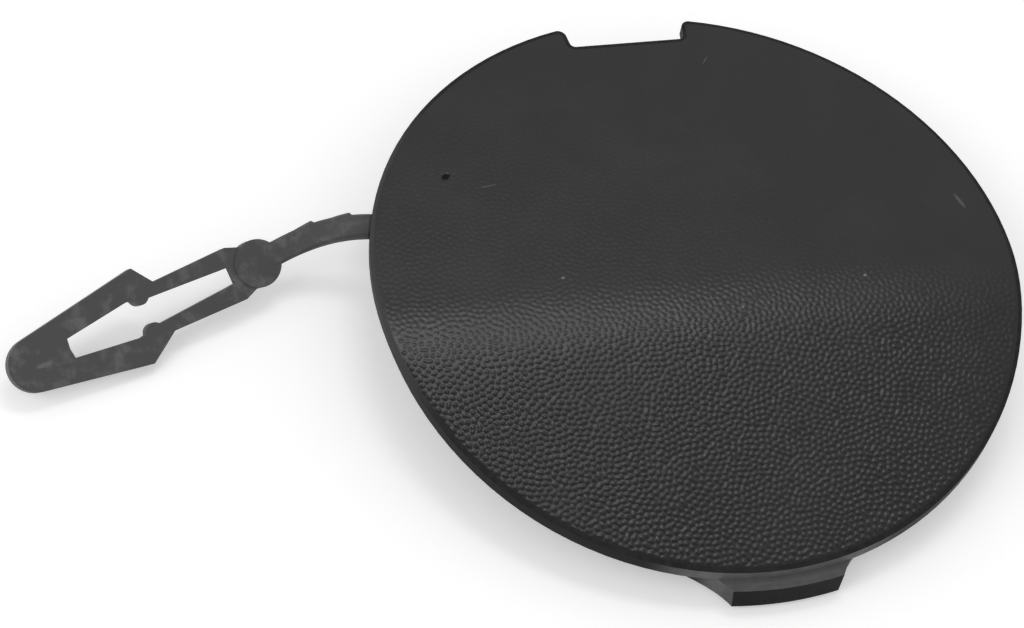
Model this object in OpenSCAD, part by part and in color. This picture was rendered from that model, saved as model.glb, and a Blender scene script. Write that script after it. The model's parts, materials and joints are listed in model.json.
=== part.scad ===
// Cover for a towing-eye opening in a bumper: one moulding in black plastic.
// The face looks up (+Z). The origin is on the cover's axis, in the plane that it rests on.
// The lug is on the -Y side, the pry notch on the +Y side, and the tether on the -X side.

/* [Cover plate] */
// Diameter of the cover
cover_d = 86; // [70:1:110]
// Thickness of the plate
wall = 1.55; // [1.2:0.05:2.4]
// Height of the upper half of the face above the resting plane
face_h = 11; // [10:0.5:16]
// Angle between the two halves of the face
bend_angle = 9.6; // [4:0.2:12]
// Distance of the bend from the axis, towards the lug
bend_offset = 7.3; // [4:0.1:12]
// Radius of the bend on the face
bend_r = 60; // [30:1:80]

/* [Pry notch] */
// Width of the notch's floor
notch_w = 16.3; // [10:0.5:22]
// Depth of the notch from the cover's edge
notch_depth = 4.3; // [2.5:0.05:6]
// Angle by which each side of the notch opens
notch_flare = 7; // [0:0.5:20]
// Radius in the notch's inner corners
notch_floor_r = 0.8; // [0.4:0.1:1.5]
// Radius where the notch's sides meet the edge
notch_mouth_r = 1.2; // [0.6:0.1:2]

/* [Locating lug] */
// Width of the lug's end
lug_w = 14; // [8:0.5:20]
// Distance that the lug reaches past the cover's edge
lug_reach = 1.7; // [1:0.1:3]
// Thickness of the lug
lug_t = 2.9; // [1.5:0.05:3]
// Width by which each side of the lug flares towards its root
lug_flare = 7; // [3:0.5:10]
// Distance that the lug's end leans out towards its lower edge
lug_draft = 0.4; // [0:0.1:0.8]
// Angle by which the lug sits off the notch's centre line
lug_turn = 1; // [-3:0.5:3]

/* [Rear skirt] */
// Gap between the cover's edge and the outside of the skirt
skirt_inset = 5.2; // [5:0.1:8]
// Thickness of the skirt
skirt_t = 1.6; // [1.2:0.1:2.4]
// Thickness of the ribs that cross inside the skirt
rib_t = 1.4; // [1:0.1:2]
// Width of the snap tongue opposite the lug
snap_w = 12; // [8:0.5:16]
// Width of the slits beside the snap tongue
snap_slit = 1.2; // [0.8:0.1:2]
// Distance that the snap's barb stands out from the skirt
snap_barb = 1.4; // [0.8:0.1:2]

/* [Tether strap] */
// Width of the strap
strap_w = 3.2; // [2.4:0.1:4]
// Thickness of the strap
strap_t = 1.6; // [1.2:0.1:2.2]
// Distance of the strap's root from the cover's middle, towards the notch
strap_root = 11.9; // [6:0.1:16]
// Length from the cover's edge to the middle of the boss
strap_reach = 13.15; // [11:0.05:24]
// Height of the small teeth on the strap's far edge
nib_h = 0.35; // [0.2:0.05:0.6]
// Radius of the round boss where the strap meets the clip
boss_r = 3.15; // [3:0.05:4.5]
// Thickness of the boss
boss_t = 2.2; // [2:0.1:3]

/* [Tether clip] */
// Length from the middle of the boss to the tip of the nose
clip_l = 34.9; // [28:0.1:45]
// Width across the two barbs
clip_w = 12.2; // [10:0.1:13]
// How much nearer the boss the far barb sits than the near one
barb_lead = 2.2; // [0:0.1:2.5]
// Width across the two legs
leg_span = 6.8; // [6:0.1:8]
// Width of each leg
leg_w = 2.1; // [1.5:0.1:2.2]
// Thickness of the clip
clip_t = 1.8; // [1.4:0.1:2]
// Radius of the nose
nose_r = 3.5; // [3:0.1:4]
// Angle of the clip's length from the X axis
clip_heading = 201.4; // [185:0.1:215]
// Twist of the clip about its own length
clip_roll = 35; // [0:1:35]
// Angle by which the nose points down
clip_pitch = 2; // [0:0.5:2]

/* [Hidden] */
plastic = [0.055, 0.055, 0.057];
overlap = 0.3;
// The notch's mouth arcs run this far past the plate's edge, so that they cross it cleanly
past = 0.03;

cover_r = cover_d / 2;
skirt_r = cover_r - skirt_inset;
notch_y = cover_r - notch_depth;
lug_r = cover_r + lug_reach;

// Height of the underside at the edge beside the lug
bend_run = cover_r - bend_offset;
rim_low = face_h - bend_run * tan(bend_angle) - wall;
lug_top = rim_low + 0.15;

// Middle of the bend's arc, in the YZ plane
bend_tangent = bend_r * tan(bend_angle / 2);
bend_y = bend_tangent - bend_offset;
bend_z = face_h - bend_r;

// The clip's middle plane passes through the boss's middle
boss_x = -cover_r - strap_reach;
boss_y = strap_root - 0.8;
barb_u = 0.484 * clip_l;
barb_drop = (clip_w * sin(clip_roll) + clip_t * cos(clip_roll)) / 2 + barb_u * sin(clip_pitch);
boss_z = barb_drop + 0.1;

// Points of an arc about c from angle a0 to angle a1
function arc(c, r, a0, a1, n = 8) =
    [for (i = [0:n]) let (a = a0 + (a1 - a0) * i / n) [c.x + r * cos(a), c.y + r * sin(a)]];
// The same points on the other side of the Y axis, in reverse
function mirrored(p) = [for (i = [len(p) - 1:-1:0]) [-p[i].x, p[i].y]];
// The same points on the other side of the X axis, in reverse
function flipped(p) = [for (i = [len(p) - 1:-1:0]) [p[i].x, -p[i].y]];
// Point at t on the quadratic curve from a to c that b pulls on
function curve(a, b, c, t) = (1 - t) * (1 - t) * a + 2 * t * (1 - t) * b + t * t * c;
// Point at t on the cubic curve through its four control points
function cubic(p, t) =
    pow(1 - t, 3) * p[0] + 3 * t * pow(1 - t, 2) * p[1] + 3 * t * t * (1 - t) * p[2] + pow(t, 3) * p[3];
function unit(v) = v / norm(v);

// Draws in the YZ plane and extrudes along X, as far as the cover is wide
module across() {
    translate([-cover_r - 1, 0, 0])
        rotate([90, 0, 90])
            linear_extrude(height = cover_d + 2)
                children();
}

// Everything below the bent face, lowered by drop
module below_face(drop = 0) {
    far = cover_r + 5;
    r = bend_r - drop;
    foot = [bend_y - r * sin(bend_angle), bend_z + r * cos(bend_angle)];
    fall = (far + foot.x) * tan(bend_angle);
    polygon([
        [-far, -20], [far, -20], [far, face_h - drop], [bend_y, face_h - drop], foot,
        [-far, foot.y - fall]
    ]);
    intersection() {
        translate([bend_y, bend_z]) circle(r = r, $fn = 180);
        polygon([
            [bend_y, bend_z], [bend_y, face_h + 5],
            [bend_y - (r + 5) * tan(bend_angle), face_h + 5]
        ]);
    }
}

// Outline that the pry notch cuts from the plate, with rounded inner and outer corners
module notch_outline() {
    g = notch_flare;
    side = [sin(g), cos(g)];
    away = [cos(g), -sin(g)];
    corner = [notch_w / 2, notch_y];
    rf = notch_floor_r;
    rm = notch_mouth_r;
    floor_c = [corner.x - rf * (1 - sin(g)) / cos(g), corner.y + rf];
    base = corner + rm * away;
    b = base * side;
    s = -b + sqrt(b * b - base * base + pow(cover_r - rm + past, 2));
    mouth_c = base + s * side;
    mouth_a = atan2(mouth_c.y, mouth_c.x);
    right = concat(
        arc(floor_c, rf, -90, -g),
        arc(mouth_c, rm, 180 - g, mouth_a),
        [[mouth_c.x * 1.2, mouth_c.y * 1.2]]
    );
    polygon(concat(right, mirrored(right)));
}

// Bent round plate with its notch
module plate() {
    difference() {
        intersection() {
            cylinder(h = face_h + 1, r = cover_r, $fn = 240);
            across() difference() {
                below_face();
                below_face(wall);
            }
        }
        linear_extrude(height = face_h + 2) notch_outline();
    }
}

// Ring that fits the opening, ribs that cross at the axis, and slits beside the snap tongue
module skirt() {
    intersection() {
        difference() {
            union() {
                difference() {
                    cylinder(h = face_h, r = skirt_r, $fn = 180);
                    translate([0, 0, -1]) cylinder(h = face_h + 2, r = skirt_r - skirt_t, $fn = 180);
                }
                for (a = [45, 135])
                    rotate(a)
                        translate([-skirt_r + skirt_t / 2, -rib_t / 2, 0])
                            cube([2 * skirt_r - skirt_t, rib_t, face_h]);
            }
            for (side = [-1, 1])
                translate([side * (snap_w + snap_slit) / 2 - snap_slit / 2, skirt_r - 2 * skirt_t - 2, -1])
                    cube([snap_slit, 2 * skirt_t + 4, face_h - wall - 1]);
        }
        across() below_face(wall - overlap);
    }
}

// Barb on the snap tongue, with a lead-in below and a catch above
module snap() {
    z = face_h - wall;
    y = sqrt(pow(skirt_r, 2) - pow(snap_w / 2, 2)) - 0.2;
    out = skirt_r + snap_barb;
    translate([-snap_w / 2 + 0.5, 0, 0])
        rotate([90, 0, 90])
            linear_extrude(height = snap_w - 1)
                polygon([
                    [y - 0.6, 0.12 * z], [skirt_r, 0.12 * z], [out, 0.34 * z], [out, 0.42 * z],
                    [skirt_r, 0.52 * z], [y - 0.6, 0.52 * z]
                ]);
}

// Lug that reaches past the edge, with sides that flare into the skirt
module lug() {
    foot_r = lug_r + lug_draft;
    root_r = cover_r - 2.4;
    root_a = asin((lug_w / 2 + 0.8 * lug_flare) / root_r);
    end_a = asin(lug_w / 2 / foot_r);
    tip = [lug_w / 2, -foot_r * cos(end_a)];
    root = root_r * [sin(root_a), -cos(root_a)];
    pull = [lug_w / 2 + 0.17 * lug_flare, 1 - cover_r];
    flare = [for (i = [1:8]) curve(tip, pull, root, i / 8)];
    intersection() {
        translate([0, 0, lug_top - lug_t]) linear_extrude(height = face_h) difference() {
            rotate(lug_turn) polygon(concat(
                arc([0, 0], foot_r, -90 - end_a, -90 + end_a, 12),
                flare,
                [[0, 0]],
                mirrored(flare)
            ));
            circle(r = skirt_r - skirt_t / 2, $fn = 180);
        }
        union() {
            translate([0, 0, lug_top - lug_t]) cylinder(h = lug_t, r1 = foot_r, r2 = lug_r, $fn = 180);
            intersection() {
                cylinder(h = face_h, r = cover_r - 0.4, $fn = 180);
                across() below_face(wall - overlap);
            }
        }
    }
}

// Stations along the strap: each is its middle, its direction across and its direction up
function strap_frame(t) =
    let (
        p = [
            [-cover_r + 4.5, strap_root, face_h - wall - strap_t / 2 + 0.2],
            [-cover_r - 0.2 * strap_reach, strap_root + 1.6, face_h - wall - strap_t / 2 + 0.35],
            [-cover_r - 0.5 * strap_reach, strap_root + 1.9, (face_h + boss_z) / 2 - 1.8],
            [boss_x, boss_y, boss_z]
        ],
        d = unit(cubic(p, min(t + 0.01, 1)) - cubic(p, max(t - 0.01, 0))),
        flat = unit(cross([0, 0, 1], d)),
        up = cross(d, flat),
        roll = -clip_roll * (0.4 + 0.6 * t * t * (3 - 2 * t))
    )
    [cubic(p, t), flat * cos(roll) + up * sin(roll), up * cos(roll) - flat * sin(roll)];

// How far the strap's far edge stands out at t: each tooth rises towards the plate and drops at once
function nib(t) = max([for (s = [0.26, 0.53]) t >= s && t < s + 0.14 ? nib_h * (1 - (t - s) / 0.14) : 0]);

// Strap swept from under the plate to the boss, twisting on its way
module strap() {
    steps = 56;
    edge = 0.35;
    a = strap_w / 2;
    b = strap_t / 2;
    section = [
        [a, b - edge], [a - edge, b], [edge - a, b], [-a, b - edge],
        [-a, edge - b], [edge - a, -b], [a - edge, -b], [a, edge - b]
    ];
    n = len(section);
    points = [
        for (i = [0:steps]) let (f = strap_frame(i / steps), far = nib(i / steps))
            for (q = section) f[0] + (q.x < 0 ? q.x - far : q.x) * f[1] + q.y * f[2]
    ];
    sides = [
        for (i = [0:steps - 1]) for (j = [0:n - 1]) let (k = (j + 1) % n)
            each [
                [i * n + j, (i + 1) * n + j, (i + 1) * n + k],
                [i * n + j, (i + 1) * n + k, i * n + k]
            ]
    ];
    ends = [
        [for (j = [0:n - 1]) j],
        [for (j = [n - 1:-1:0]) steps * n + j]
    ];
    polyhedron(points = points, faces = concat(sides, ends), convexity = 4);
}

// One side of the clip's arrowhead outline, with its barb at u
function clip_side(u) =
    let (leg = leg_span / 2)
    concat(
        arc([clip_l - nose_r, 0], nose_r, 0, 80, 10),
        [[u, clip_w / 2], [0.39 * clip_l, leg], [boss_r + 0.1, leg + 0.2]],
        [[0.4 * boss_r, 0.9 * boss_r], [0, 0.9 * boss_r]]
    );

// Arrowhead outline of the clip, with the boss at the origin and the nose along X
module clip_outline() {
    polygon(concat(flipped(clip_side(barb_u - 0.6 * barb_lead)), clip_side(barb_u + 0.4 * barb_lead)));
}

// Window between the legs, wider inside the arrowhead
module clip_window() {
    inner = leg_span / 2 - leg_w;
    wide = clip_w / 2 - 1.75 * leg_w;
    half = [
        [0.767 * clip_l, 0], [0.762 * clip_l, inner], [barb_u + 0.9, wide], [barb_u - 2, inner + 0.45],
        [barb_u - 3.8, inner + 0.35], [boss_r + 0.5, inner - 0.2]
    ];
    polygon(concat(flipped(half), half));
}

// Arrowhead clip with its window, drawn flat
module clip_flat() {
    knob_r = 0.57 * leg_w;
    translate([0, 0, -clip_t / 2]) linear_extrude(height = clip_t)
        offset(r = 0.2, $fn = 24) offset(delta = -0.7) offset(r = 0.5, $fn = 24)
            union() {
                difference() {
                    clip_outline();
                    clip_window();
                }
                for (side = [-1, 1])
                    translate([barb_u - 0.9, side * (leg_span / 2 - 0.95)]) circle(r = knob_r, $fn = 24);
                circle(r = boss_r, $fn = 48);
            }
    translate([0, 0, -boss_t / 2]) cylinder(h = boss_t, r = boss_r, $fn = 96);
}

// Clip as it lies: turned, twisted and dipped about the boss
module clip() {
    translate([boss_x, boss_y, boss_z])
        rotate([0, 0, clip_heading])
            rotate([0, clip_pitch, 0])
                rotate([-clip_roll, 0, 0])
                    clip_flat();
}

// The whole cover is one moulding
module cover() {
    color(plastic) union() {
        plate();
        skirt();
        snap();
        lug();
        strap();
        clip();
    }
}

cover();
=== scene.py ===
"""Dresses the cover of a towing-eye opening: its grained face, moulded plastic with greyer tones and painted
light and shade, light and camera.

Lengths are in metres. The cover lies face up on the floor, with its lug towards -Y and its tether towards -X.
"""
import json
import logging
import math
from dataclasses import dataclass, field
from enum import Enum

import bmesh
import bpy
import numpy as np
from mathutils import Matrix, Vector

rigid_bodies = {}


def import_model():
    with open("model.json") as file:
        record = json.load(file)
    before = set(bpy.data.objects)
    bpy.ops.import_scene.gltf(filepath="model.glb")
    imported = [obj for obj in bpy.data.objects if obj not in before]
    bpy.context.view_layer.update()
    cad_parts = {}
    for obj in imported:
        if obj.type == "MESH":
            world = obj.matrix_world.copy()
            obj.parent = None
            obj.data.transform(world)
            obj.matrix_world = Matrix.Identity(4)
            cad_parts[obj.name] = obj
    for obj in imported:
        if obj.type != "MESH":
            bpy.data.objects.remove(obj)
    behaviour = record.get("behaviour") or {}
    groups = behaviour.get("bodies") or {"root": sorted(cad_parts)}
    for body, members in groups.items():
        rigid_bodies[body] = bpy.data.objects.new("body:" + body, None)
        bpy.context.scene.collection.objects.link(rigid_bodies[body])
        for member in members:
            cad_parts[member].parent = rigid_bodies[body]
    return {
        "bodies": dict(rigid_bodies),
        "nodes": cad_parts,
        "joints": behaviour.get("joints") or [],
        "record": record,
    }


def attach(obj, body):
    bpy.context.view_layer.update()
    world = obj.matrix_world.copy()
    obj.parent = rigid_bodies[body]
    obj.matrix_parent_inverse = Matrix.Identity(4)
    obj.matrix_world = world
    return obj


MM = 0.001
log = logging.getLogger("cover")

Point = tuple[float, float]
Range = tuple[float, float]
Colour = tuple[float, float, float]
Socket = bpy.types.NodeSocket
Sockets = bpy.types.NodeOutputs

NICK: Point = (-30.3 * MM, 17.8 * MM)
NICK_TURN = 0.75


class Gloss(Enum):
    """How a moulded surface left the tool."""

    GRAINED = "grained"
    SATIN = "satin"


@dataclass(frozen=True)
class FaceForm:
    """The sizes of the bent face and its notch, as the solid has them."""

    radius: float = 43.0 * MM
    height: float = 11.0 * MM
    bend_angle: float = math.radians(9.6)
    bend_offset: float = 7.3 * MM
    bend_radius: float = 60.0 * MM
    notch_width: float = 16.3 * MM
    notch_depth: float = 4.3 * MM
    notch_flare: float = math.radians(7)
    notch_floor_radius: float = 0.8 * MM
    notch_mouth_radius: float = 1.2 * MM

    def level(self, y: np.ndarray) -> np.ndarray:
        """Gives the face's height at a distance along Y.

        Args:
            y: Distances from the axis, in metres.

        Returns:
            The heights above the floor.
        """
        reach = self.bend_radius * math.tan(self.bend_angle / 2)
        start = reach - self.bend_offset
        end = start - self.bend_radius * math.sin(self.bend_angle)
        s = np.clip(start - y, 0, start - end)
        round_part = self.height - self.bend_radius + np.sqrt(self.bend_radius**2 - s**2)
        return round_part - np.clip(end - y, 0, None) * math.tan(self.bend_angle)

    def outline(self, inset: float, step: float) -> list[Point]:
        """Gives the face's outline, moved inwards, anticlockwise from the notch's right side.

        Args:
            inset: How far inside the edge the outline runs.
            step: About how far apart its points lie.

        Returns:
            The points, in metres.
        """
        flare, floor_r, mouth_r = self.notch_flare, self.notch_floor_radius, self.notch_mouth_radius
        corner = Vector((self.notch_width / 2, self.radius - self.notch_depth))
        side = Vector((math.sin(flare), math.cos(flare)))
        away = Vector((math.cos(flare), -math.sin(flare)))
        floor_c = Vector((corner.x - floor_r * (1 - math.sin(flare)) / math.cos(flare), corner.y + floor_r))
        base = corner + mouth_r * away
        b = base.dot(side)
        mouth_c = base + side * (-b + math.sqrt(b * b - base.dot(base) + (self.radius - mouth_r) ** 2))
        mouth_a = math.atan2(mouth_c.y, mouth_c.x)
        right = arc(floor_c, floor_r + inset, -math.pi / 2, -flare, step)
        right += arc(mouth_c, mouth_r - inset, math.pi - flare, mouth_a, step)
        rim = arc(Vector((0, 0)), self.radius - inset, mouth_a, -math.pi / 2, step)[1:]
        half = spaced(right + rim, step)
        left = [(-x, y) for x, y in reversed(half[:-1])]
        loop = half + left
        return loop[::-1]


@dataclass(frozen=True)
class GrainSize:
    """The sizes of the pebble grain.

    Pebbles lie `pitch` apart and stand `relief` high, on a skin that lies `lift` above the plate and
    reaches `depth` into it. Its triangles have sides of `grid`. It ends `border` inside the plate's edge,
    and over `ease` it goes down there to `sunk`, a share of the relief. Along Y the relief loses the share
    `fade`, from `fade_from` on and over `fade_over`. Along X it loses the share `calm` in the same way.
    """

    pitch: float = 0.77 * MM
    relief: float = 0.072 * MM
    lift: float = 0.02 * MM
    border: float = 0.45 * MM
    ease: float = 0.6 * MM
    depth: float = 0.35 * MM
    grid: float = 0.165 * MM
    sunk: float = -0.6
    fade: float = 0.8
    fade_from: float = -17.0 * MM
    fade_over: float = 16.0 * MM
    calm: float = 0.65
    calm_from: float = 15.0 * MM
    calm_over: float = 22.0 * MM


def arc(centre: Vector, radius: float, start: float, end: float, step: float) -> list[Point]:
    """Gives the points of an arc.

    Args:
        centre: The arc's middle.
        radius: Its radius.
        start: The first point's angle.
        end: The last point's angle.
        step: About how far apart the points lie.

    Returns:
        The points, the two ends among them.
    """
    count = max(3, math.ceil(abs(end - start) * radius / step))
    angles = [start + (end - start) * i / count for i in range(count + 1)]
    return [(centre.x + radius * math.cos(a), centre.y + radius * math.sin(a)) for a in angles]


def spaced(points: list[Point], step: float) -> list[Point]:
    """Puts further points on the long stretches of a line of points.

    Args:
        points: The points.
        step: The longest stretch that stays.

    Returns:
        The old and new points in order.
    """
    out = [points[0]]
    for (x0, y0), (x1, y1) in zip(points, points[1:]):
        count = max(1, math.ceil(math.dist((x0, y0), (x1, y1)) / step))
        out += [(x0 + (x1 - x0) * i / count, y0 + (y1 - y0) * i / count) for i in range(1, count + 1)]
    return out


@dataclass
class GrainField:
    """Grows the pebbles: bumps of one spacing that line up in short wandering rows, as etched grain does.

    The pattern is a square with `cells` cells of the size `cell` a side. It starts as `noise`, and takes
    `rounds` steps of the length `pace`. `vigour` is how fast waves of the pitch grow, `lean` favours bumps
    over hollows, and `hold` keeps long waves down. The `tails` are the percentiles that become the heights
    0 and 1.
    """

    pitch: float
    cell: float = 0.09 * MM
    cells: int = 1024
    noise: float = 0.6
    rounds: int = 14
    pace: float = 0.5
    vigour: float = 0.55
    lean: float = 1.3
    hold: float = 4.0
    tails: Range = (2.0, 98.0)
    seed: int = 7
    relief: np.ndarray = field(init=False)

    def __post_init__(self) -> None:
        """Grows the pattern once."""
        self.relief = self.grown()

    def grown(self) -> np.ndarray:
        """Lets waves of one length grow out of seeded noise, so that they meet in dots.

        Returns:
            The pattern as a square of heights between about 0 and 1 that repeats at its edges.
        """
        across = np.fft.fftfreq(self.cells, self.cell)[:, None]
        along = np.fft.rfftfreq(self.cells, self.cell)[None, :]
        wave = (across**2 + along**2) * self.pitch**2
        growth = self.vigour - (1 - wave) ** 2 - self.hold * np.clip(1 - 2 * wave, 0, 1)
        ground = np.random.default_rng(self.seed).normal(0, self.noise, (self.cells, self.cells))
        for _ in range(self.rounds):
            push = self.lean * ground**2 - ground**3
            waves = np.fft.rfft2(ground + self.pace * push) / (1 - self.pace * growth)
            ground = np.fft.irfft2(waves, s=ground.shape)
        low, high = np.percentile(ground, self.tails)
        return (ground - low) / (high - low)

    def at(self, xy: np.ndarray) -> np.ndarray:
        """Reads the pattern at points.

        Args:
            xy: The points as rows of x and y.

        Returns:
            Each point's share of the relief.
        """
        where = xy / self.cell
        whole = np.floor(where).astype(int)
        fx, fy = (where - whole).T
        x, y = whole.T
        n = self.cells
        near = self.relief[x % n, y % n] * (1 - fx) + self.relief[(x + 1) % n, y % n] * fx
        above = self.relief[x % n, (y + 1) % n] * (1 - fx) + self.relief[(x + 1) % n, (y + 1) % n] * fx
        return near * (1 - fy) + above * fy


@dataclass
class GrainedFace:
    """The pebbled skin on the plate, inside a plain border."""

    form: FaceForm
    size: GrainSize
    nick_depth: float = 0.09 * MM
    nick_reach: float = 0.55 * MM
    nick_stretch: float = 1.5
    splits: Range = (-11.3 * MM, 11.3 * MM)
    loop_step: float = 1.0 * MM
    margin: float = 2.0 * MM

    def heights(self, xy: np.ndarray, share: np.ndarray) -> np.ndarray:
        """Turns shares of the grain's relief into heights.

        Args:
            xy: The points.
            share: Each point's share, 0 in a valley and 1 on a pebble.

        Returns:
            The heights above the floor.
        """
        size = self.size
        x, y = xy[:, 0], xy[:, 1]
        dx, dy, cos, sin = x - NICK[0], y - NICK[1], math.cos(NICK_TURN), math.sin(NICK_TURN)
        far = np.hypot(dx * cos + dy * sin, (dy * cos - dx * sin) * self.nick_stretch)
        fade = 1 - size.fade * np.clip((y - size.fade_from) / size.fade_over, 0, 1)
        fade = fade * (1 - size.calm * np.clip((x - size.calm_from) / size.calm_over, 0, 1))
        dent = self.nick_depth * np.exp(-((far / self.nick_reach) ** 2))
        return self.form.level(y) + size.lift + size.relief * fade * share - dent

    def grid(self) -> tuple[np.ndarray, np.ndarray]:
        """Lays an even grid of triangles over the face.

        Returns:
            The points, and three point numbers a triangle.
        """
        step, rise = self.size.grid, self.size.grid * math.sqrt(0.75)
        columns, rows = int(self.form.radius / step) + 1, int(self.form.radius / rise) + 1
        i, j = np.meshgrid(np.arange(-columns, columns + 1), np.arange(-rows, rows + 1))
        xy = np.column_stack([((i + 0.5 * (j % 2)) * step).ravel(), (j * rise).ravel()])
        number = np.arange(i.size).reshape(i.shape)
        a, b, c, d = number[:-1, :-1], number[:-1, 1:], number[1:, :-1], number[1:, 1:]
        odd = (j[:-1, :-1] % 2 == 1)[..., None]
        first = np.where(odd, np.stack([a, b, d], -1), np.stack([a, b, c], -1))
        second = np.where(odd, np.stack([a, d, c], -1), np.stack([b, d, c], -1))
        return xy, np.concatenate([first.reshape(-1, 3), second.reshape(-1, 3)])

    def build(self) -> list[bpy.types.Object]:
        """Builds the skin as closed meshes, one above the other along Y.

        Returns:
            The three objects.
        """
        size = self.size
        xy, triangles = self.grid()
        inside, near = self.within(xy, np.array(self.form.outline(size.border, self.loop_step)))
        triangles = triangles[inside[triangles].all(axis=1)]
        ease = np.clip(near / size.ease, 0, 1)
        share = size.sunk + (GrainField(size.pitch).at(xy) - size.sunk) * ease * ease * (3 - 2 * ease)
        spots = np.column_stack([xy, self.heights(xy, share)])
        middle = xy[triangles, 1].mean(axis=1)
        low, high = self.splits
        parts = {"upper_grain": middle > high, "middle_grain": (middle > low) & (middle <= high),
                 "lower_grain": middle <= low}
        return [self.closed(title, spots, self.unpinched(triangles[part])) for title, part in parts.items()]

    @staticmethod
    def unpinched(faces: np.ndarray) -> np.ndarray:
        """Drops the facets round each point at which the border touches itself.

        Args:
            faces: The facets.

        Returns:
            The facets left, with a border of simple loops.
        """
        while True:
            sides = np.sort(faces[:, [0, 1, 1, 2, 2, 0]].reshape(-1, 2), axis=1).astype(np.int64)
            edges, uses = np.unique(sides[:, 0] << 32 | sides[:, 1], return_counts=True)
            once = edges[uses == 1]
            points, times = np.unique(np.concatenate([once >> 32, once & 0xFFFFFFFF]), return_counts=True)
            pinched = points[times > 2]
            if not len(pinched):
                return faces
            log.info("%d pinched border points dropped", len(pinched))
            faces = faces[~np.isin(faces, pinched).any(axis=1)]

    def within(self, p: np.ndarray, loop: np.ndarray) -> tuple[np.ndarray, np.ndarray]:
        """Says which points lie inside a loop, and how far each is from it where it is close.

        Args:
            p: The points.
            loop: The loop's points, in order.

        Returns:
            A mask of the points inside, and the distances.
        """
        form, margin = self.form, self.margin
        inside = np.ones(len(p), bool)
        near = np.full(len(p), margin)
        far = np.hypot(p[:, 0], p[:, 1])
        notch_y = form.radius - form.notch_depth
        by_notch = (np.abs(p[:, 0]) < form.notch_width) & (p[:, 1] > notch_y - margin)
        close = np.flatnonzero((far > form.radius - margin) | by_notch)
        q, mask, gap = p[close], np.zeros(len(close), bool), np.full(len(close), margin)
        for (ax, ay), (bx, by) in zip(loop.tolist(), np.roll(loop, -1, axis=0).tolist()):
            if by != ay:
                crossing = (bx - ax) * (q[:, 1] - ay) / (by - ay) + ax
                mask ^= ((ay > q[:, 1]) != (by > q[:, 1])) & (q[:, 0] < crossing)
            run = np.array([bx - ax, by - ay])
            t = np.clip(((q - (ax, ay)) @ run) / (run @ run), 0, 1)
            gap = np.minimum(gap, np.linalg.norm(q - (ax, ay) - t[:, None] * run, axis=1))
        inside[close], near[close] = mask, gap
        return inside, near

    def closed(self, title: str, spots: np.ndarray, faces: np.ndarray) -> bpy.types.Object:
        """Makes a mesh of the facets and closes it below.

        Args:
            title: The piece's name.
            spots: All points.
            faces: The facets of this piece.

        Returns:
            The piece's object.
        """
        used, numbers = np.unique(faces, return_inverse=True)
        mesh = bpy.data.meshes.new(title)
        mesh.from_pydata(spots[used].tolist(), [], numbers.reshape(-1, 3).tolist())
        mesh.update()
        bm = bmesh.new()
        bm.from_mesh(mesh)
        bmesh.ops.recalc_face_normals(bm, faces=bm.faces)
        border = [e for e in bm.edges if e.is_boundary]
        for e in border:
            e.smooth = False
        made = bmesh.ops.extrude_edge_only(bm, edges=border)["geom"]
        for v in (g for g in made if isinstance(g, bmesh.types.BMVert)):
            v.co.z = float(self.form.level(v.co.y)) - self.size.depth
        low = [e for e in bm.edges if e.is_boundary]
        for e in low:
            e.smooth = False
        bmesh.ops.triangle_fill(bm, edges=low, use_beauty=True)
        bmesh.ops.recalc_face_normals(bm, faces=bm.faces)
        open_edges = sum(not e.is_manifold for e in bm.edges)
        bm.to_mesh(mesh)
        bm.free()
        skin = bpy.data.objects.new(title, mesh)
        bpy.context.collection.objects.link(skin)
        log.info("%s: %d faces, %d open edges", title, len(mesh.polygons), open_edges)
        return skin


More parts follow.
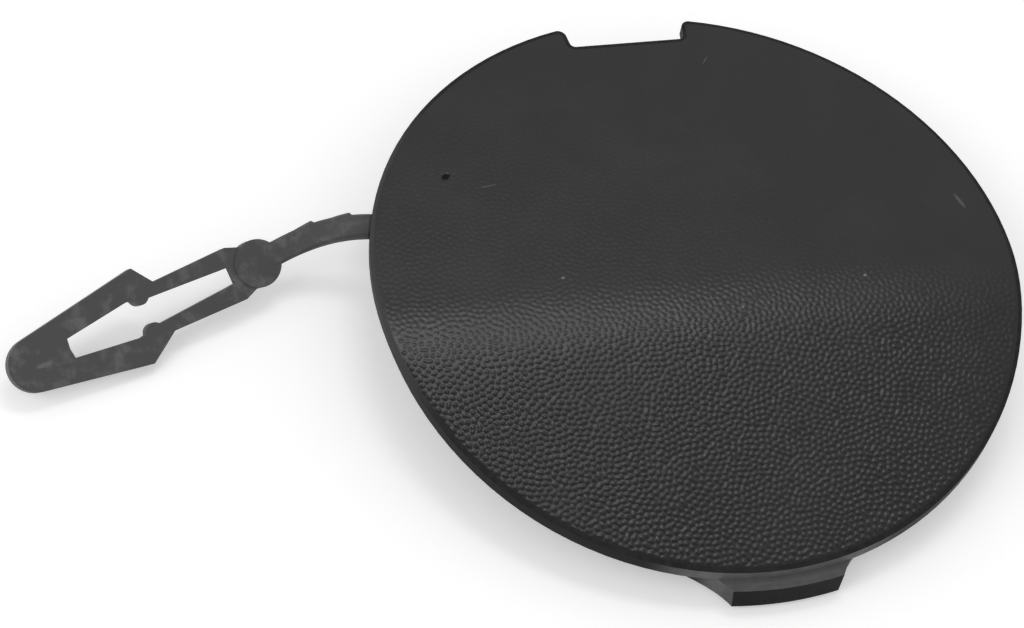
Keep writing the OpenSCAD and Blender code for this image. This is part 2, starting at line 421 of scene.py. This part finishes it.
class Wiring:
    """Short ways to place and join nodes in a tree."""

    def __init__(self, tree: bpy.types.NodeTree) -> None:
        """Keeps the tree to work on."""
        self.tree = tree

    def add(self, kind: str, **values: float) -> bpy.types.Node:
        """Places a node and sets its inputs by name.

        Args:
            kind: The node's type.
            values: Input names and their values.

        Returns:
            The node.
        """
        node = self.tree.nodes.new(kind)
        for title, value in values.items():
            node.inputs[title].default_value = value
        return node

    def join(self, start: Socket, end: Socket) -> None:
        """Joins an output to an input."""
        self.tree.links.new(start, end)

    def split(self, vector: Socket) -> Sockets:
        """Splits a vector into its X, Y and Z sockets."""
        node = self.add("ShaderNodeSeparateXYZ")
        self.join(vector, node.inputs["Vector"])
        return node.outputs

    def length(self, vector: Socket) -> Socket:
        """Gives a vector's length."""
        node = self.add("ShaderNodeVectorMath")
        node.operation = "LENGTH"
        self.join(vector, node.inputs[0])
        return node.outputs["Value"]

    def math(self, how: str, a: Socket, b: Socket | float) -> Socket:
        """Reckons with two values.

        Args:
            how: The operation.
            a: The first value's socket.
            b: The second value or its socket.

        Returns:
            The result's socket.
        """
        node = self.tree.nodes.new("ShaderNodeMath")
        node.operation = how
        self.join(a, node.inputs[0])
        if isinstance(b, (int, float)):
            node.inputs[1].default_value = b
        else:
            self.join(b, node.inputs[1])
        return node.outputs[0]

    def ramp(self, value: Socket, start: float, end: float, low: float = 0.0, high: float = 1.0) -> Socket:
        """Maps a value smoothly from one range to another.

        Args:
            value: The value's socket.
            start: Where the result is low.
            end: Where the result is high.
            low: The lowest result.
            high: The highest result.

        Returns:
            The result's socket.
        """
        node = self.tree.nodes.new("ShaderNodeMapRange")
        node.interpolation_type = "SMOOTHSTEP"
        numbers = {"From Min": start, "From Max": end, "To Min": low, "To Max": high}
        for title, number in numbers.items():
            node.inputs[title].default_value = number
        self.join(value, node.inputs["Value"])
        return node.outputs["Result"]

    def blend(self, share: Socket, a: Socket | Colour, b: Socket | Colour) -> Socket:
        """Mixes two colours.

        Args:
            share: The second colour's share.
            a: The first colour, or its socket.
            b: The second colour, or its socket.

        Returns:
            The mixed colour's socket.
        """
        node = self.tree.nodes.new("ShaderNodeMix")
        node.data_type = "RGBA"
        self.join(share, node.inputs[0])
        for value, socket in ((a, node.inputs[6]), (b, node.inputs[7])):
            if isinstance(value, tuple):
                socket.default_value = (*value, 1)
            else:
                self.join(value, socket)
        return node.outputs[2]


class NodeGroups:
    """Shader node groups that several materials share."""

    def __init__(self) -> None:
        """Builds each group once."""
        self.mottle = self._mottle()

    def mottled(self, build: Wiring, coarse: float, fine: float) -> Sockets:
        """Places the mottle group in a material.

        Args:
            build: The material's wiring.
            coarse: The bloom's scale.
            fine: The speckle's scale.

        Returns:
            The group's outputs.
        """
        node = build.add("ShaderNodeGroup")
        node.node_tree = self.mottle
        node.inputs["Coarse"].default_value = coarse
        node.inputs["Fine"].default_value = fine
        return node.outputs

    @staticmethod
    def _new(name: str, inputs: dict[str, float], outputs: list[str]) -> bpy.types.NodeTree:
        """Makes an empty group with named number sockets.

        Args:
            name: The group's name.
            inputs: Each input's name and usual value.
            outputs: The outputs' names.

        Returns:
            The group.
        """
        tree = bpy.data.node_groups.new(name, "ShaderNodeTree")
        for title, value in inputs.items():
            socket = tree.interface.new_socket(title, in_out="INPUT", socket_type="NodeSocketFloat")
            socket.default_value = value
        for title in outputs:
            tree.interface.new_socket(title, in_out="OUTPUT", socket_type="NodeSocketFloat")
        return tree

    def _mottle(self) -> bpy.types.NodeTree:
        """Cloudy variation of moulded plastic: a coarse bloom and a fine speckle."""
        tree = self._new("moulded mottle", {"Coarse": 90.0, "Fine": 1400.0}, ["Bloom", "Speckle"])
        build = Wiring(tree)
        inside = build.add("NodeGroupInput")
        outside = build.add("NodeGroupOutput")
        where = build.add("ShaderNodeTexCoord")
        for scale, title, rough in (("Coarse", "Bloom", 0.6), ("Fine", "Speckle", 0.5)):
            noise = build.add("ShaderNodeTexNoise", Detail=4.0, Roughness=rough)
            build.join(where.outputs["Object"], noise.inputs["Vector"])
            build.join(inside.outputs[scale], noise.inputs["Scale"])
            build.join(noise.outputs["Fac"], outside.inputs[title])
        return tree


@dataclass(frozen=True)
class Mark:
    """A small mark: its place, half length, half width, direction, how much it shows, and its height."""

    spot: Point
    length: float
    width: float
    turn: float
    share: float
    height: float = 11.0 * MM


PALE_MARKS = (
    Mark((3.65 * MM, -7.64 * MM), 0.22 * MM, 0.2 * MM, 0.0, 0.8),
    Mark((21.32 * MM, -4.8 * MM), 0.3 * MM, 0.22 * MM, 0.4, 1.0),
    Mark((-18.63 * MM, -0.41 * MM), 0.25 * MM, 0.22 * MM, 0.0, 1.0),
    Mark((38.4 * MM, 5.8 * MM), 1.5 * MM, 0.3 * MM, -1.27, 0.35),
    Mark((-25.0 * MM, 15.6 * MM), 1.3 * MM, 0.1 * MM, 0.17, 0.35),
    Mark((10.1 * MM, 34.4 * MM), 1.0 * MM, 0.12 * MM, 0.9, 0.3),
)
NICK_MARKS = (Mark(NICK, 1.0 * MM, 0.6 * MM, NICK_TURN, 1.0),)
NOSE_MARKS = (Mark((-84.3 * MM, -0.9 * MM), 1.2 * MM, 0.28 * MM, 0.28, 0.7, 3.5 * MM),)


def marked(build: Wiring, marks: tuple[Mark, ...]) -> Socket:
    """Gathers small marks into one mask.

    Args:
        build: The material's wiring.
        marks: The marks.

    Returns:
        The mask's socket.
    """
    deep, edge = 4 * MM, (1.15, 0.55)
    where = build.add("ShaderNodeTexCoord")
    total = None
    for mark in marks:
        placed = build.add("ShaderNodeMapping")
        placed.vector_type = "TEXTURE"
        placed.inputs["Location"].default_value = (*mark.spot, mark.height)
        placed.inputs["Rotation"].default_value = (0, 0, mark.turn)
        placed.inputs["Scale"].default_value = (mark.length, mark.width, deep)
        build.join(where.outputs["Object"], placed.inputs["Vector"])
        one = build.ramp(build.length(placed.outputs["Vector"]), *edge, 0.0, mark.share)
        total = one if total is None else build.math("MAXIMUM", total, one)
    return total


@dataclass(frozen=True)
class GreysAndPaintedLight:
    """The strap's greyer tone, a greyer border, and light and shade painted into the moulding's colour.

    Each range runs from no effect to the full one, along X, Y, the height, a part of the surface's normal,
    or the reach, which is the distance from the cover's axis. A tuple of four adds the two results. The
    `border` ranges keep the lug's painted light off the face.
    """

    strap_reach: Range = (43.04 * MM, 43.24 * MM)
    strap_x: Range = (-30.0 * MM, -34.0 * MM)
    strap_grey: Colour = (0.082, 0.082, 0.0825)
    patch_scales: Range = (420.0, 900.0)
    patch_bloom: Range = (0.48, 0.72)
    patch_share: float = 0.7
    patch_grey: Colour = (0.15, 0.15, 0.149)
    top_facing: Range = (0.7, 0.95)
    top_speckle: tuple[float, ...] = (0.3, 0.7, 0.3, 1.0)
    top_grey: Colour = (0.019, 0.019, 0.019)
    # painted light on the up-facing border at the left, beside the strap
    left_x: Range = (-28.0 * MM, -38.0 * MM)
    left_y: Range = (-22.0 * MM, -8.0 * MM)
    left_painted_light: Colour = (0.052, 0.052, 0.052)
    # painted light on the lug's top and the wall beside it, with a speckle
    lug_y: Range = (-39.5 * MM, -42.0 * MM)
    lug_speckle: tuple[float, ...] = (0.2, 0.8, 0.75, 1.0)
    lug_reach: tuple[float, ...] = (43.1 * MM, 44.3 * MM, 1.0, 0.7)
    lug_painted_light: Colour = (0.14, 0.14, 0.14)
    # painted shade on the lug's end face
    end_facing: Range = (-0.75, -0.92)
    end_reach: Range = (43.85 * MM, 44.1 * MM)
    end_painted_shade: Colour = (0.003, 0.003, 0.003)
    border_facing: Range = (0.15, 0.5)
    border_height: Range = (3.6 * MM, 3.9 * MM)

    def over(self, build: Wiring, groups: NodeGroups, colour: Socket) -> Socket:
        """Lays the greyer tones and the painted light and shade over a colour.

        Args:
            build: The material's wiring.
            groups: The shared node groups.
            colour: The plain plastic's colour.

        Returns:
            The new colour's socket.
        """
        where = build.split(build.add("ShaderNodeTexCoord").outputs["Object"])
        facing = build.split(build.add("ShaderNodeNewGeometry").outputs["Normal"])
        flat = build.add("ShaderNodeCombineXYZ")
        build.join(where["X"], flat.inputs["X"])
        build.join(where["Y"], flat.inputs["Y"])
        reach = build.length(flat.outputs["Vector"])
        patches = groups.mottled(build, *self.patch_scales)
        colour, handled = self.strap(build, where["X"], reach, patches["Bloom"], colour)
        colour = self.rim(build, where, facing["Z"], handled, patches["Speckle"], colour)
        return self.lug(build, where, facing, reach, patches["Speckle"], colour)

    def strap(self, build: Wiring, x: Socket, reach: Socket, bloom: Socket,
              colour: Socket) -> tuple[Socket, Socket]:
        """Greys the handled strap and clip, with paler patches.

        Args:
            build: The material's wiring.
            x: The place along X.
            reach: The distance from the axis.
            bloom: The coarse mottle.
            colour: The colour below.

        Returns:
            The new colour's socket and the mask of the strap and clip.
        """
        handled = build.math("MULTIPLY", build.ramp(reach, *self.strap_reach),
                             build.ramp(x, *self.strap_x))
        colour = build.blend(handled, colour, self.strap_grey)
        pale = build.ramp(bloom, *self.patch_bloom, 0.0, self.patch_share)
        return build.blend(build.math("MULTIPLY", pale, handled), colour, self.patch_grey), handled

    def rim(self, build: Wiring, where: Sockets, up: Socket, handled: Socket, speckle: Socket,
            colour: Socket) -> Socket:
        """Greys the plain border of the face where it faces up, and paints light on its left part, beside the
        strap.

        Args:
            build: The material's wiring.
            where: The place's sockets.
            up: How far the surface faces up.
            handled: The mask of the strap and clip, which stay as they are.
            speckle: The fine mottle.
            colour: The colour below.

        Returns:
            The new colour's socket.
        """
        top = build.ramp(up, *self.top_facing)
        border = build.math("MAXIMUM", build.math("SUBTRACT", top, handled), 0.0)
        uneven = build.ramp(speckle, *self.top_speckle)
        colour = build.blend(build.math("MULTIPLY", border, uneven), colour, self.top_grey)
        # painted light: the up-facing border at the left is made paler
        left = build.math("MULTIPLY", build.ramp(where["X"], *self.left_x),
                          build.ramp(where["Y"], *self.left_y))
        beside = build.math("SUBTRACT", build.math("MULTIPLY", top, left), handled)
        return build.blend(build.math("MAXIMUM", beside, 0.0), colour, self.left_painted_light)

    def lug(self, build: Wiring, where: Sockets, facing: Sockets, reach: Socket, speckle: Socket,
            colour: Socket) -> Socket:
        """Paints light on the lug and the wall beside it, and paints shade on the lug's end.

        Args:
            build: The material's wiring.
            where: The place's sockets.
            facing: The normal's sockets.
            reach: The distance from the axis.
            speckle: The fine mottle.
            colour: The colour below.

        Returns:
            The new colour's socket.
        """
        near = build.ramp(where["Y"], *self.lug_y)
        end = build.math("MULTIPLY", build.ramp(facing["Y"], *self.end_facing),
                         build.ramp(reach, *self.end_reach))
        border = build.math("MULTIPLY", build.ramp(facing["Z"], *self.border_facing),
                            build.ramp(where["Z"], *self.border_height))
        # painted shade: the lug's end face is made near-black
        colour = build.blend(build.math("MULTIPLY", near, end), colour, self.end_painted_shade)
        # painted light: the lug's top and the wall beside it are made paler, all but the end face and the
        # face's border
        light = build.math("SUBTRACT", build.math("SUBTRACT", near, end), border)
        uneven = build.math("MULTIPLY", build.ramp(speckle, *self.lug_speckle),
                            build.ramp(reach, *self.lug_reach))
        painted_light_share = build.math("MAXIMUM", build.math("MULTIPLY", light, uneven), 0.0)
        return build.blend(painted_light_share, colour, self.lug_painted_light)


@dataclass(frozen=True)
class BlackPlastic:
    """Black moulded plastic in one of its finishes."""

    title: str
    gloss: Gloss
    colour: Colour = (0.0095, 0.0095, 0.0098)
    bloom: Colour = (0.012, 0.012, 0.0124)
    bloom_range: Range = (0.42, 0.72)
    pale: Colour = (0.16, 0.16, 0.155)
    dark: Colour = (0.002, 0.002, 0.002)
    rough: float = 0.285
    rough_swing: float = 0.02
    rough_range: Range = (0.3, 0.7)
    specular: float = 0.4
    pits: float = 0.15
    pit_depth: float = 0.05 * MM
    mottle_scales: Range = (90.0, 2600.0)
    greys_and_painted_light: GreysAndPaintedLight = GreysAndPaintedLight()

    def make(self, groups: NodeGroups) -> bpy.types.Material:
        """Builds the material.

        Args:
            groups: The shared node groups.

        Returns:
            The material.
        """
        material = bpy.data.materials.new(self.title)
        material.use_nodes = True
        build = Wiring(material.node_tree)
        shader = material.node_tree.nodes["Principled BSDF"]
        mottle = groups.mottled(build, *self.mottle_scales)
        colour = build.blend(build.ramp(mottle["Bloom"], *self.bloom_range), self.colour, self.bloom)
        # satin parts take the strap's greyer tone, a greyer border, and painted light and shade on the left
        # border and the lug
        if self.gloss is Gloss.SATIN:
            colour = self.greys_and_painted_light.over(build, groups, colour)
        pale_marks = PALE_MARKS if self.gloss is Gloss.GRAINED else NOSE_MARKS
        colour = build.blend(marked(build, pale_marks), colour, self.pale)
        colour = build.blend(marked(build, NICK_MARKS), colour, self.dark)
        build.join(colour, shader.inputs["Base Color"])
        low, high = self.rough - self.rough_swing, self.rough + self.rough_swing
        rough = build.ramp(mottle["Bloom"], *self.rough_range, low, high)
        build.join(rough, shader.inputs["Roughness"])
        shader.inputs["Specular IOR Level"].default_value = self.specular
        bump = build.add("ShaderNodeBump", Strength=self.pits, Distance=self.pit_depth)
        build.join(mottle["Speckle"], bump.inputs["Height"])
        build.join(bump.outputs["Normal"], shader.inputs["Normal"])
        return material


@dataclass
class Moulding:
    """The cover's solid, with its edges eased as a mould leaves them."""

    node: str = "cover"
    edge_radius: float = 0.27 * MM
    edge_steps: int = 3
    edge_angle: float = math.radians(28)
    weld: float = 0.0005 * MM

    def dress(self, frame: dict, material: bpy.types.Material) -> bpy.types.Object:
        """Gives the solid its plastic and rounds its edges.

        Args:
            frame: The loaded frame.
            material: The plastic.

        Returns:
            The solid's object.
        """
        solid = frame["nodes"][self.node]
        for slot in solid.material_slots:
            slot.material = material
        weld = solid.modifiers.new("joined corners", "WELD")
        weld.merge_threshold = self.weld
        ease = solid.modifiers.new("eased edges", "BEVEL")
        ease.width = self.edge_radius
        ease.segments = self.edge_steps
        ease.limit_method = "ANGLE"
        ease.angle_limit = self.edge_angle
        even = solid.modifiers.new("even shading", "WEIGHTED_NORMAL")
        even.keep_sharp = True
        log.info("%s: plastic and eased edges", self.node)
        return solid


@dataclass(frozen=True)
class SoftLamp:
    """A soft lamp: its bearing clockwise from +Y and its height in degrees, then metres and watts."""

    title: str
    bearing: float
    height: float
    distance: float
    size: tuple[float, float]
    power: float


@dataclass
class Studio:
    """Floor, lamps, sky and camera."""

    lamps: tuple[SoftLamp, ...] = (
        SoftLamp("window", 19.0, 68.5, 0.9, (0.38, 0.2), 1.16),
        SoftLamp("left fill", -105.0, 42.0, 0.9, (0.5, 0.4), 1.2),
    )
    azimuth: float = math.radians(-22.17)
    elevation: float = math.radians(52.71)
    roll: float = math.radians(12.05)
    distance: float = 0.3007
    aside: Point = (-24.47 * MM, -6.80 * MM)
    focal_px: float = 2316.8
    picture_px: float = 1024.0
    sensor: float = 36.0
    nearest: float = 0.01
    face_height: float = 11.0 * MM
    floor_colour: float = 0.86
    floor_rough: float = 0.9
    floor_specular: float = 0.1
    floor_glow: float = 0.31
    floor_half: float = 4.0
    sky_heights: Range = (0.76, 0.96)
    sky_strengths: Range = (0.73, 0.35)

    def camera(self) -> bpy.types.Object:
        """Places the camera where the photograph was taken from."""
        a, e, r = self.azimuth, self.elevation, self.roll
        back = Vector((math.sin(a) * math.cos(e), -math.cos(a) * math.cos(e), math.sin(e)))
        level = Vector((0, 0, 1)).cross(back).normalized()
        high = back.cross(level)
        right = math.cos(r) * level + math.sin(r) * high
        up = math.cos(r) * high - math.sin(r) * level
        spot = right * self.aside[0] + up * self.aside[1] + back * self.distance
        lens = bpy.data.cameras.new("camera")
        lens.sensor_width = self.sensor
        lens.lens = self.focal_px / self.picture_px * self.sensor
        lens.clip_start = self.nearest
        camera = bpy.data.objects.new("camera", lens)
        turned = Matrix((right, up, back)).transposed().to_4x4()
        camera.matrix_world = Matrix.Translation(spot + Vector((0, 0, self.face_height))) @ turned
        bpy.context.collection.objects.link(camera)
        bpy.context.scene.camera = camera
        return camera

    def floor(self) -> bpy.types.Object:
        """Lays a plain white floor."""
        half = self.floor_half
        corners = [(-half, -half, 0), (half, -half, 0), (half, half, 0), (-half, half, 0)]
        mesh = bpy.data.meshes.new("floor")
        mesh.from_pydata(corners, [], [(0, 1, 2, 3)])
        material = bpy.data.materials.new("white floor")
        material.use_nodes = True
        shader = material.node_tree.nodes["Principled BSDF"]
        shader.inputs["Base Color"].default_value = (*(self.floor_colour,) * 3, 1)
        shader.inputs["Roughness"].default_value = self.floor_rough
        shader.inputs["Specular IOR Level"].default_value = self.floor_specular
        shader.inputs["Emission Color"].default_value = (1, 1, 1, 1)
        build = Wiring(material.node_tree)
        path = build.add("ShaderNodeLightPath")
        seen = build.math("ADD", path.outputs["Is Camera Ray"], path.outputs["Is Glossy Ray"])
        seen = build.math("ADD", seen, path.outputs["Is Transmission Ray"])
        build.join(build.math("MULTIPLY", seen, self.floor_glow), shader.inputs["Emission Strength"])
        mesh.materials.append(material)
        floor = bpy.data.objects.new("floor", mesh)
        bpy.context.collection.objects.link(floor)
        return floor

    def lamp(self, soft: SoftLamp) -> None:
        """Hangs a soft lamp that points at the cover.

        Args:
            soft: Where it hangs, its size and its power.
        """
        light = bpy.data.lights.new(soft.title, "AREA")
        light.shape = "RECTANGLE"
        light.size, light.size_y = soft.size
        light.energy = soft.power
        lamp = bpy.data.objects.new(soft.title, light)
        a, e = math.radians(soft.bearing), math.radians(soft.height)
        towards = Vector((math.sin(a) * math.cos(e), math.cos(a) * math.cos(e), math.sin(e)))
        lamp.location = towards * soft.distance
        lamp.rotation_euler = (-lamp.location).to_track_quat("-Z", "Y").to_euler()
        bpy.context.collection.objects.link(lamp)

    def sky(self) -> None:
        """Surrounds the stage with soft light that is brighter near the horizon."""
        world = bpy.data.worlds.new("studio")
        world.use_nodes = True
        bpy.context.scene.world = world
        build = Wiring(world.node_tree)
        surface = world.node_tree.nodes["Background"]
        where = build.split(build.add("ShaderNodeTexCoord").outputs["Generated"])
        strength = build.ramp(where["Z"], *self.sky_heights, *self.sky_strengths)
        build.join(strength, surface.inputs["Strength"])
        surface.inputs["Color"].default_value = (1, 1, 1, 1)

    def build(self) -> None:
        """Sets up the whole stage."""
        bpy.context.scene.view_settings.view_transform = "Standard"
        self.floor()
        for soft in self.lamps:
            self.lamp(soft)
        self.sky()
        self.camera()
        log.info("studio: floor, %d lamps, sky and camera", len(self.lamps))


def main() -> None:
    """Builds the stage and dresses the cover."""
    logging.basicConfig(level=logging.INFO, format="%(name)s: %(message)s")
    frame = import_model()
    bpy.context.view_layer.update()
    Studio().build()
    groups = NodeGroups()
    satin = BlackPlastic("satin_black_plastic", Gloss.SATIN, (0.007, 0.007, 0.0073), dark=(0.001,) * 3,
                         rough=0.5, specular=0.12).make(groups)
    grained = BlackPlastic("grained_black_plastic", Gloss.GRAINED).make(groups)
    Moulding().dress(frame, satin)
    for skin in GrainedFace(FaceForm(), GrainSize()).build():
        skin.data.materials.append(grained)
        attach(skin, "root")


if __name__ == "__main__":
    main()
